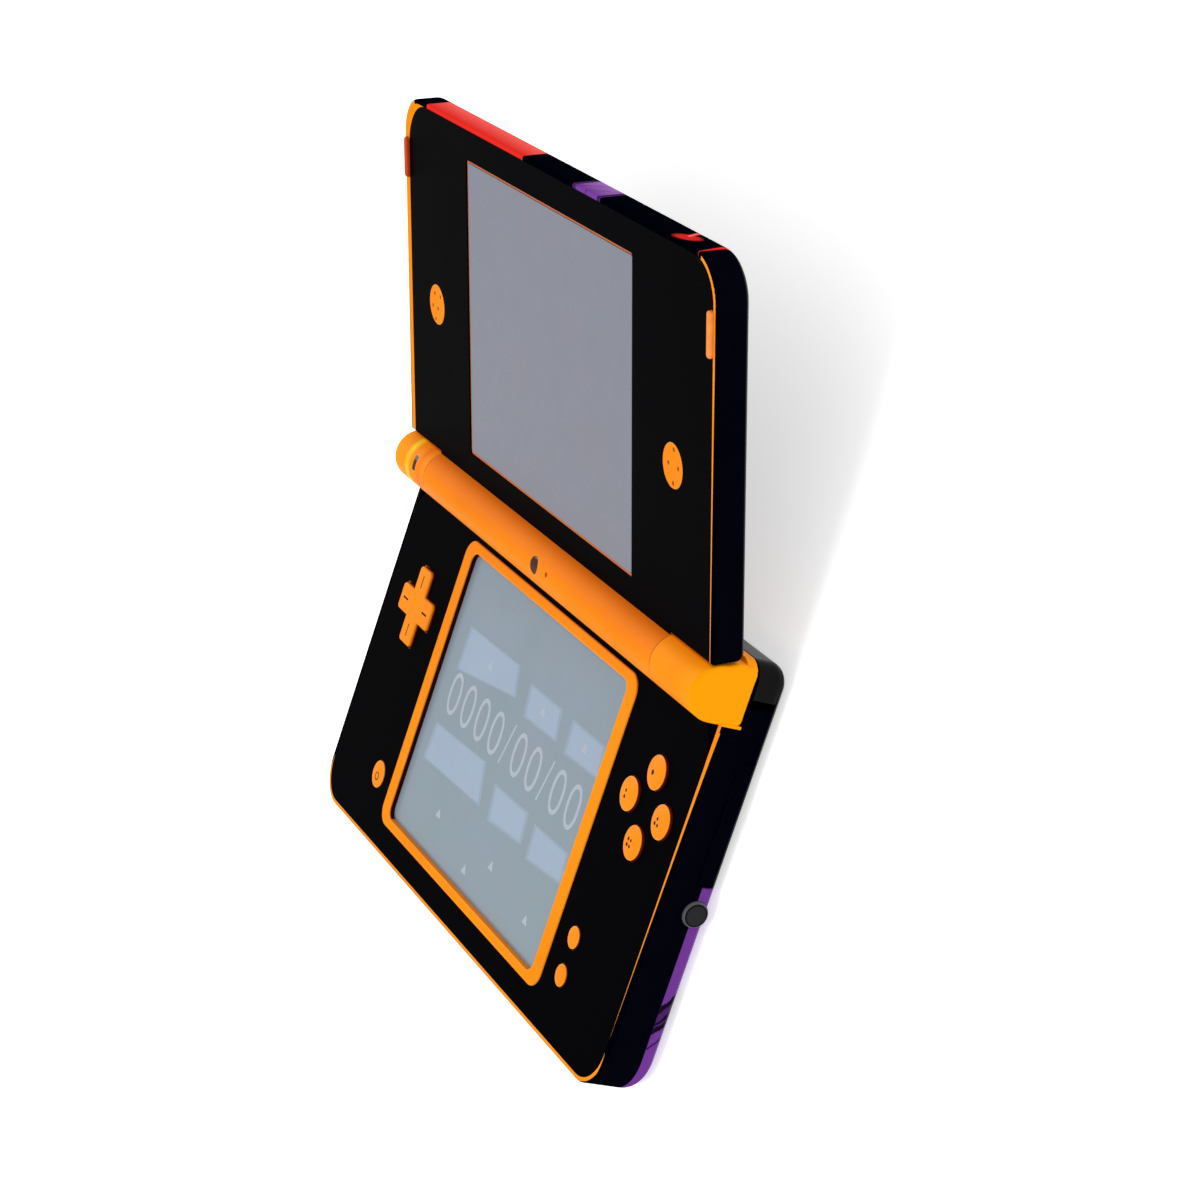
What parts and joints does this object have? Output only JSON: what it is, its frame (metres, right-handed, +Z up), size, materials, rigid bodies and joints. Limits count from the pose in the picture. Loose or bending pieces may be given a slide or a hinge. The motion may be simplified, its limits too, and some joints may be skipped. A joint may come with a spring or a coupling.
{
  "type": "handheld lcd game",
  "caption": "Folding handheld game console with two screens, a cross pad, push keys, a barrel hinge with a camera, a stylus and a card slot, open nearly flat.",
  "frame": {"origin": "on the resting plane, under the middle of the open console's overall outline, which is 36.34 mm behind the middle of the base", "axes": "+X to the player's right, +Y from the player to the hinge, +Z up out of the base's face"},
  "size_m": [0.1624, 0.164, 0.045],
  "materials": {
    "orange_plastic": "semi-gloss",
    "black_skin": "smooth",
    "navy_shell": "semi-gloss",
    "black_plastic": "fine texture",
    "gloss_black": "polished",
    "touch_glass": "satin film",
    "window_glass": "satin",
    "lcd": "smooth",
    "backlight": "satin",
    "circuit_board": "solder mask",
    "chip_black": "matt",
    "steel": "brushed",
    "soft_rubber": "matt",
    "feet_rubber": "matt",
    "orange_rubber": "matt",
    "battery_wrap": "printed film",
    "lens_glass": "polished",
    "light_guide": "frosted",
    "flex_film": "polyimide film"
  },
  "bodies": {
    "base": {"base_bottom_shell": "navy_shell", "base_top_shell": "orange_plastic", "base_face_skin": "black_skin", "touch_panel": "touch_glass", "lower_lcd_panel": "lcd", "lower_backlight": "backlight", "main_board": "circuit_board", "board_chips": "chip_black", "shield_can": "steel", "left_button_board": "circuit_board", "right_button_board": "circuit_board", "dpad_membrane": "soft_rubber", "face_button_membrane": "soft_rubber", "small_membranes": "soft_rubber", "volume_switch": "black_plastic", "shoulder_pins": "steel", "shoulder_springs": "steel", "shoulder_switches": "black_plastic", "card_slot_housing": "black_plastic", "memory_card_socket": "steel", "battery": "battery_wrap", "battery_cover": "navy_shell", "battery_cover_screws": "steel", "case_screws": "steel", "rubber_feet": "feet_rubber", "audio_jack": "black_plastic", "power_connector": "black_plastic", "wireless_board": "circuit_board", "status_light_guide": "light_guide", "hinge_pin": "steel"},
    "lid": {"lid_outer_shell": "navy_shell", "lid_inner_frame": "orange_plastic", "lid_face_skin": "black_skin", "upper_screen_window": "window_glass", "upper_lcd_panel": "lcd", "upper_backlight": "backlight", "speakers": "chip_black", "lid_bumpers": "orange_rubber", "lid_screws": "steel", "inner_camera_module": "chip_black", "inner_camera_lens": "lens_glass", "microphone": "chip_black", "outer_camera_module": "chip_black", "outer_camera_lens": "lens_glass", "display_ribbon_cable": "flex_film", "hinge_cartridge": "steel"},
    "dpad_pivot": {"dpad_pivot": "steel"},
    "dpad": {"dpad": "orange_plastic"},
    "face_button_top": {"face_button_top": "orange_plastic"},
    "face_button_left": {"face_button_left": "orange_plastic"},
    "face_button_right": {"face_button_right": "orange_plastic"},
    "face_button_bottom": {"face_button_bottom": "orange_plastic"},
    "small_button_upper": {"small_button_upper": "orange_plastic"},
    "small_button_lower": {"small_button_lower": "orange_plastic"},
    "power_button": {"power_button": "orange_plastic"},
    "volume_rocker": {"volume_rocker": "black_plastic"},
    "left_shoulder_button": {"left_shoulder_button": "gloss_black"},
    "right_shoulder_button": {"right_shoulder_button": "gloss_black"},
    "memory_card_cover": {"memory_card_cover": "navy_shell"},
    "stylus": {"stylus": "black_plastic"}
  },
  "joints": [
    {"name": "lid_hinge", "type": "hinge", "parent": "base", "child": "lid", "pos_m": [0, 0.00186, 0.01512], "axis": [1, 0, 0], "range_deg": [0, 160]},
    {"name": "dpad_rock_y", "type": "hinge", "parent": "base", "child": "dpad_pivot", "pos_m": [-0.0616, -0.02904, 0.0084], "axis": [1, 0, 0], "range_deg": [-3, 3], "stiffness_Nm_per_rad": 0.05},
    {"name": "dpad_rock_x", "type": "hinge", "parent": "dpad_pivot", "child": "dpad", "pos_m": [-0.0616, -0.02904, 0.0084], "axis": [0, 1, 0], "range_deg": [-3, 3], "stiffness_Nm_per_rad": 0.05},
    {"name": "face_button_top_press", "type": "slide", "parent": "base", "child": "face_button_top", "axis": [0, 0, -1], "range_m": [0, 0.001], "stiffness_N_per_m": 300, "springref_m": -0.0005},
    {"name": "face_button_left_press", "type": "slide", "parent": "base", "child": "face_button_left", "axis": [0, 0, -1], "range_m": [0, 0.001], "stiffness_N_per_m": 300, "springref_m": -0.0005},
    {"name": "face_button_right_press", "type": "slide", "parent": "base", "child": "face_button_right", "axis": [0, 0, -1], "range_m": [0, 0.001], "stiffness_N_per_m": 300, "springref_m": -0.0005},
    {"name": "face_button_bottom_press", "type": "slide", "parent": "base", "child": "face_button_bottom", "axis": [0, 0, -1], "range_m": [0, 0.001], "stiffness_N_per_m": 300, "springref_m": -0.0005},
    {"name": "small_button_upper_press", "type": "slide", "parent": "base", "child": "small_button_upper", "axis": [0, 0, -1], "range_m": [0, 0.0005], "stiffness_N_per_m": 400, "springref_m": -0.0005},
    {"name": "small_button_lower_press", "type": "slide", "parent": "base", "child": "small_button_lower", "axis": [0, 0, -1], "range_m": [0, 0.0005], "stiffness_N_per_m": 400, "springref_m": -0.0005},
    {"name": "power_button_press", "type": "slide", "parent": "base", "child": "power_button", "axis": [0, 0, -1], "range_m": [0, 0.0005], "stiffness_N_per_m": 400, "springref_m": -0.0005},
    {"name": "volume_rock", "type": "hinge", "parent": "base", "child": "volume_rocker", "pos_m": [-0.0778, -0.03134, 0.0064], "axis": [0, 0, 1], "range_deg": [-3, 3], "stiffness_Nm_per_rad": 0.05},
    {"name": "left_shoulder_press", "type": "hinge", "parent": "base", "child": "left_shoulder_button", "pos_m": [-0.0586, 0.00606, 0.005], "axis": [0, 0, 1], "range_deg": [0, 3.5], "stiffness_Nm_per_rad": 0.3, "springref_deg": -171.89},
    {"name": "right_shoulder_press", "type": "hinge", "parent": "base", "child": "right_shoulder_button", "pos_m": [0.0586, 0.00606, 0.005], "axis": [0, 0, -1], "range_deg": [0, 3.5], "stiffness_Nm_per_rad": 0.3, "springref_deg": -171.89},
    {"name": "card_cover_open", "type": "hinge", "parent": "base", "child": "memory_card_cover", "pos_m": [0.0795, -0.02284, 0.0015], "axis": [0, 1, 0], "range_deg": [0, 100]},
    {"name": "stylus_slide", "type": "slide", "parent": "base", "child": "stylus", "axis": [1, 0, 0], "range_m": [0, 0.096]}
  ]
}
